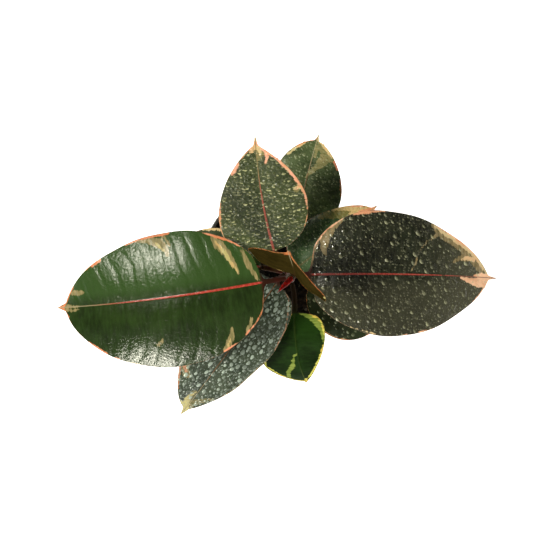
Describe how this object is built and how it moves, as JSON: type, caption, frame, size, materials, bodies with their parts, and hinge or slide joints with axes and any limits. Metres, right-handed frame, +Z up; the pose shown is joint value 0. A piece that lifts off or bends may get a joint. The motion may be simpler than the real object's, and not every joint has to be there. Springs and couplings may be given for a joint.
{
  "type": "potted rubber plant",
  "caption": "Young variegated rubber plant: leathery oval leaves spiral up one upright stem rooted in a plastic nursery pot, which stands on its base indoors.",
  "frame": {"origin": "centre of the underside of the pot, on the surface that the pot stands on", "axes": "+Z up along the pot's axis, +X towards the tip of the large right-hand leaf, +Y towards the upper leaf, away from the small front leaf"},
  "size_m": [0.3854, 0.2567, 0.441],
  "materials": {
    "pot_plastic": "moulded black plastic with a fine satin texture",
    "potting_soil": "damp peat and bark crumbs with white perlite grains",
    "stem_bark": "young smooth bark, brown below and green-red above, with ring scars",
    "red_sheath": "smooth waxy deep red bud sheath",
    "leaf_glossy": "waxy leaf, deep green with cream, orange and pink margins and a red midrib",
    "leaf_wet": "waxy dark green leaf with cream and pink patches, covered in small water drops",
    "leaf_young": "thin satin olive-brown young leaf with bright orange margins"
  },
  "bodies": {
    "root": {"pot": "pot_plastic", "soil": "potting_soil", "stem": "stem_bark", "bud_sheath": "red_sheath", "leaf_left": "leaf_glossy", "leaf_right": "leaf_wet", "leaf_upper": "leaf_wet", "leaf_young": "leaf_young", "leaf_lower_left": "leaf_wet", "leaf_upper_right": "leaf_wet", "leaf_upper_left": "leaf_wet", "leaf_front": "leaf_glossy", "leaf_back": "leaf_wet", "leaf_lower_right": "leaf_wet"}
  },
  "joints": []
}
